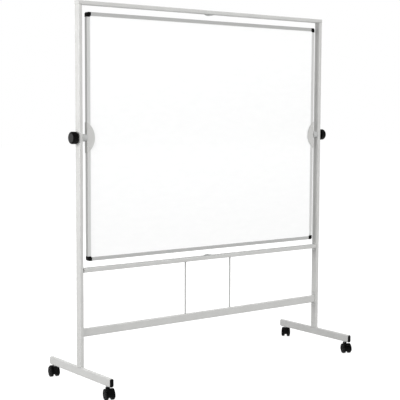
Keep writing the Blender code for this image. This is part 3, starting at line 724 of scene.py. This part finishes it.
def make_knob(side_name, facing, pivot, bore):
    """Clamping knob: scalloped grip, domed face and a pressed-in cover."""
    near, far, radius = reach_of("knob_" + side_name)
    boss, neck = 0.013, near + 0.0026
    well, well_depth = 0.0228, 0.0012
    scallops, scallop_depth, steps = 16, 0.0011, 192
    # each ring's radius, height and share of the scallops' depth
    rings = [(boss, near, 0), (boss, neck, 0), (radius - 0.0022, neck, 0),
             (radius - 0.0006, neck + 0.0008, 0.5), (radius, neck + 0.0022, 1), (radius, far - 0.0062, 1),
             (radius - 0.0005, far - 0.0042, 1), (radius - 0.0016, far - 0.0023, 0.8),
             (radius - 0.0032, far - 0.0009, 0.4), (radius - 0.0050, far - 0.0002, 0),
             (radius - 0.0060, far, 0), (well, far, 0)]
    sections = []
    for ring, height, share in rings:
        outline = []
        for step in range(steps):
            angle = 2 * math.pi * step / steps
            cut = scallop_depth * share * max(0.0, math.cos(scallops * angle)) ** 0.8
            outline.append(((ring - cut) * math.cos(angle), (ring - cut) * math.sin(angle)))
        sections.append((outline, height))
    cuts = [disc(well, far - well_depth, far + PAST, 96, facing),
            disc(bore, near - PAST, far - 0.006, 48, facing)]
    mesh = finished(loft(sections, facing), cuts, smooth=38)
    piece(f"knob_{side_name}_grip", mesh, BLACK, side_name + "_knob", "black_plastic", "knob_" + side_name,
          place=pivot)
    rim, ring_inner = 0.0224, 0.0150
    cover = [(0, far - well_depth), (rim, far - well_depth), (rim, far - 0.0006),
             (rim - 0.0004, far - 0.0002), (rim - 0.0019, far - 0.0001), (ring_inner, far - 0.0001),
             (ring_inner - 0.0004, far - 0.0005), (0, far - 0.0004)]
    piece(f"knob_{side_name}_cover", finished(turned(cover, 96, facing)), KNOB_FACE, side_name + "_knob",
          "black_plastic", place=pivot)


# ---- the castors, in a frame whose +X is the way they trail and whose origin is under the stem ----
def castor_place(place):
    """Where a castor stands and points, and how far behind its stem its axle is."""
    stem = Vector(JOINTS[place + "_swivel"]["pos_m"])
    axle = Vector(JOINTS[place + "_wheel_a"]["pos_m"])
    offset = Vector((axle.x - stem.x, axle.y - stem.y))
    heading = math.atan2(offset.y, offset.x)
    return Matrix.Translation((stem.x, stem.y, 0)) @ Matrix.Rotation(heading, 4, "Z"), offset.length, axle.z


def local_box(node, place):
    """Lowest and highest corner of a CAD node in another frame."""
    inverse = place.inverted()
    spots = [inverse @ vert.co for vert in frame["nodes"][node].data.vertices]
    low = Vector([min(spot[i] for spot in spots) for i in range(3)])
    high = Vector([max(spot[i] for spot in spots) for i in range(3)])
    return low, high


def shared_mesh(key, build, *sizes):
    """A mesh that is built at its first use and shared by all the castors."""
    if key not in SHARED_MESHES:
        SHARED_MESHES[key] = build(*sizes)
    return SHARED_MESHES[key]


def hood_mesh(node, place, trail, height, lever=None):
    """Two half-round shells with a web between, a neck for the stem, and room for a brake lever."""
    _, high = local_box(node, place)
    outer = high.x - trail
    half = high.y
    wide = 2 * half
    shell, web = 0.0025, 0.006
    axle = (trail, 0, height)
    arch = arc(0, 0, outer, -15, 195, 72)
    bm = moved(prism([(u, -v) for u, v in arch], -half, half, (), "Y"), axle)
    neck_radius, boss_radius, ease = 0.0112, 0.0105, 0.0008
    neck = [(0, height), (neck_radius, height), (neck_radius, high.z - 0.0052),
            (0.0108, high.z - 0.0046), (boss_radius, high.z - 0.0042), (boss_radius, high.z - ease),
            (boss_radius - ease, high.z), (0, high.z)]
    cuts = [moved(disc(outer - shell, web, wide, 72, facing), axle) for facing in ("Y", "-Y")]
    stem_floor = 0.033
    cuts.append(disc(STEM_RADIUS + SEAM, stem_floor, high.z + 2 * PAST, 40))
    cuts.append(moved(disc(AXLE_BORE, -wide, wide, 32, "Y"), axle))
    if lever is not None:
        slot, pin_radius, pin_reach = 0.013, 0.0016, 0.016
        cuts.append(moved(block((-0.004, -slot, -0.0045), (0.006, slot, 0.008)), lever))
        cuts.append(moved(disc(pin_radius, -pin_reach, pin_reach, 24, "Y"), lever))
    return finished(bm, cuts, [turned(neck, 56)], edge=0.0005, smooth=35)


def tyre_mesh(radius, inner, outer):
    """Tread ring, lying along Z from its inner to its outer side."""
    core = radius - TYRE_SECTION
    inner_round, outer_round, side_ease = 0.0044, 0.0050, 0.0002
    profile = [(core, inner)]
    profile += arc(radius - inner_round, inner + inner_round, inner_round, -86, 0, 8)
    profile += arc(radius - outer_round, outer - outer_round - side_ease, outer_round, 0, 76, 10)
    profile += [(core, outer - 0.0003)]
    return finished(turned(profile, 96))


def hub_mesh(radius, inner, outer):
    """Wheel centre with a rim, six ribs and a boss, lying along Z."""
    core = radius - TYRE_SECTION
    ease, rib_half = 0.0006, 0.0008
    floor = outer - 0.0042
    boss, boss_top = 0.0070, outer - 0.0010
    profile = [(AXLE_BORE, inner), (core - ease, inner), (core, inner + ease), (core, outer - 0.0010),
               (core - ease, outer - 0.0005), (core - 0.0022, outer - 0.0005),
               (core - 0.0030, outer - 0.0012), (core - 0.0034, floor), (boss + 0.0008, floor),
               (boss, boss_top - 0.0004), (boss - ease, boss_top), (0.0040, boss_top),
               (AXLE_BORE, boss_top - ease)]
    ribs = []
    for number in range(6):
        rib = block((boss - 0.0010, -rib_half, inner + 0.002), (core - 0.0025, rib_half, outer - 0.0020))
        bmesh.ops.transform(rib, matrix=Matrix.Rotation(number * math.pi / 3, 4, "Z"), verts=rib.verts)
        ribs.append(rib)
    return finished(turned(profile, 96), joins=ribs, smooth=40)


def axle_mesh():
    reach, radius, ease = 0.0205, 0.0030, 0.0008
    profile = [(0, -reach), (radius - ease, -reach), (radius, ease - reach), (radius, reach - ease),
               (radius - ease, reach), (0, reach)]
    return finished(turned(profile, 40))


def lever_mesh(half):
    """Brake lever: a pedal with three grip ridges, rising from a barrel with two pins."""
    pedal = [(0.0, -0.0009), (0.0026, -0.0001), (0.0050, 0.0012), (0.0080, 0.0037), (0.0098, 0.0055),
             (0.0105, 0.0068), (0.0105, 0.0080), (0.0100, 0.0085), (0.0090, 0.0085), (0.0082, 0.0080),
             (0.0062, 0.0057), (0.0040, 0.0036), (0.0018, 0.0020), (0.0, 0.0013)]
    width = half - 0.0025
    barrel_radius, pin_radius, ridge_radius = 0.0020, 0.0013, 0.0005
    barrel_end, ridge_end = width - 0.0002, width - 0.0015
    bm = prism([(u, -v) for u, v in pedal], -width, width, (), "Y")
    joins = [disc(barrel_radius, -barrel_end, barrel_end, 32, "Y"), disc(pin_radius, -half, half, 24, "Y")]
    for along, up in ((0.0050, 0.0045), (0.0066, 0.0062), (0.0080, 0.0078)):
        joins.append(moved(disc(ridge_radius, -ridge_end, ridge_end, 16, "Y"), (along, 0, up)))
    return finished(bm, joins=joins, edge=0.0002, rounds=1, smooth=40)


def stem_mesh(bottom, top, collar):
    """Stem pin, standing along Z, with a collar just under the foot."""
    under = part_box("foot_left")[0].z - SEAM
    low = under - 0.002
    ease, collar_ease = 0.0008, 0.0003
    profile = [(0, bottom), (STEM_RADIUS, bottom), (STEM_RADIUS, low), (collar - collar_ease, low),
               (collar, low + collar_ease), (collar, under), (STEM_RADIUS, under),
               (STEM_RADIUS, top - ease), (STEM_RADIUS - ease, top), (0, top)]
    return finished(turned(profile, 56))


def make_castor(name):
    place, trail, height = castor_place(name)
    body = "castor_" + name
    hood = "castor_hood_" + name
    lever = None
    if name in BRAKED:
        lever = place.inverted() @ Vector(JOINTS[name + "_brake"]["pos_m"])
    kind = "hood" if lever is None else "braked_hood"
    piece(hood + "_shell", shared_mesh(kind, hood_mesh, hood, place, trail, height, lever), BLACK, body,
          "black_plastic", hood, place=place)

    axle = place @ at(trail, 0, height)
    low, high = local_box(f"castor_wheel_{name}_a", axle)
    wheel = high.z, low.y, high.y
    for hand, facing in (("a", "Y"), ("b", "-Y")):
        node = f"castor_wheel_{name}_{hand}"
        side = axle @ FACING[facing]
        piece(node + "_tyre", shared_mesh("tyre", tyre_mesh, *wheel), TREAD, f"wheel_{name}_{hand}",
              "wheel_tread", node, place=side)
        piece(node + "_hub", shared_mesh("hub", hub_mesh, *wheel), HUB, f"wheel_{name}_{hand}",
              "wheel_tread", place=side)
    piece(f"castor_axle_{name}_pin", shared_mesh("axle", axle_mesh), ZINC, body, "zinc_steel",
          "castor_axle_" + name, place=axle @ FACING["Y"])

    if lever is not None:
        node = "brake_lever_" + name
        hinge = place @ at(*lever)
        _, high = local_box(node, hinge)
        piece(node + "_pedal", shared_mesh("lever", lever_mesh, high.y), BLACK, "lever_" + name,
              "black_plastic", node, place=hinge)

    stem = "castor_stem_" + name
    low, high = local_box(stem, place)
    piece(stem + "_pin", shared_mesh("stem", stem_mesh, low.z, high.z, high.x), ZINC, "frame",
          "zinc_steel", stem, place=at(place.translation.x, place.translation.y, 0))


def paint_kept_nodes():
    """The CAD nodes that stay as they are get their finishes."""
    for node, material in (("sheet_front", ENAMEL), ("sheet_back", ENAMEL), ("board_core", CORE),
                           ("pivot_stud_left", ZINC), ("pivot_stud_right", ZINC)):
        for slot in frame["nodes"][node].material_slots:
            slot.material = material


# ---- floor, light and camera ----
def make_floor():
    """Wide pale floor that glows, and leaves the light on the object to the lamps and the room."""
    mesh = bpy.data.meshes.new("floor")
    reach = 30
    mesh.from_pydata([(-reach, -reach, 0), (reach, -reach, 0), (reach, reach, 0), (-reach, reach, 0)], [],
                     [(0, 1, 2, 3)])
    floor = bpy.data.objects.new("floor", mesh)
    bpy.context.collection.objects.link(floor)
    material, _, shader = new_material("pale_floor", 0.9)
    shader.inputs["Base Color"].default_value = (FLOOR_ALBEDO, FLOOR_ALBEDO, FLOOR_ALBEDO, 1)
    shader.inputs["Emission Color"].default_value = (1, 1, 1, 1)
    shader.inputs["Emission Strength"].default_value = FLOOR_GLOW
    mesh.materials.append(material)
    floor.visible_diffuse = False


def softbox(name, place, aim, width, height, power, beam):
    light = bpy.data.lights.new(name, "AREA")
    light.shape = "RECTANGLE"
    light.size = width
    light.size_y = height
    light.energy = power
    light.spread = math.radians(beam)
    obj = bpy.data.objects.new(name, light)
    bpy.context.collection.objects.link(obj)
    obj.location = place
    obj.rotation_euler = (Vector(aim) - Vector(place)).to_track_quat("-Z", "Y").to_euler()
    obj.visible_camera = False
    obj.visible_glossy = False


def make_light():
    """Four softboxes in a white room, which the camera sees brighter than it lights."""
    world = bpy.data.worlds.new("studio")
    bpy.context.scene.world = world
    world.use_nodes = True
    tree = world.node_tree
    tree.nodes["Background"].inputs["Color"].default_value = (1, 1, 1, 1)
    seen = add_node(tree, "ShaderNodeLightPath").outputs["Is Camera Ray"]
    strength = add_node(tree, "ShaderNodeMapRange", Value=seen, To_Min=ROOM_LIGHT, To_Max=1.0)
    tree.links.new(strength.outputs["Result"], tree.nodes["Background"].inputs["Strength"])
    for lamp in SOFTBOXES:
        softbox(*lamp)
    bpy.context.scene.view_settings.view_transform = "Standard"
    bpy.context.scene.view_settings.look = "None"


def make_camera():
    """Camera at the photo's angle; it pans right by yaw, tips down by pitch and leans by roll."""
    yaw, pitch, roll = (math.radians(angle) for angle in CAMERA_ANGLES)
    ahead = Vector((math.sin(yaw) * math.cos(pitch), math.cos(yaw) * math.cos(pitch), -math.sin(pitch)))
    level = Vector((math.cos(yaw), -math.sin(yaw), 0))
    down = ahead.cross(level)
    right = level * math.cos(roll) + down * math.sin(roll)
    up = level * math.sin(roll) - down * math.cos(roll)
    data = bpy.data.cameras.new("camera")
    data.sensor_width = 36
    data.lens = CAMERA_LENS
    data.clip_end = 200
    camera = bpy.data.objects.new("camera", data)
    bpy.context.collection.objects.link(camera)
    turn = Matrix((right, up, -ahead)).transposed().to_4x4()
    camera.matrix_world = Matrix.Translation(CAMERA_PLACE) @ turn
    bpy.context.scene.camera = camera


make_uprights()
make_top_rail()
make_lower_rails()
make_feet()
make_rods()
make_buffers()
make_profiles()
make_corners()
make_brackets()
make_pivots()
for castor in CASTORS:
    make_castor(castor)
paint_kept_nodes()
make_floor()
make_light()
make_camera()
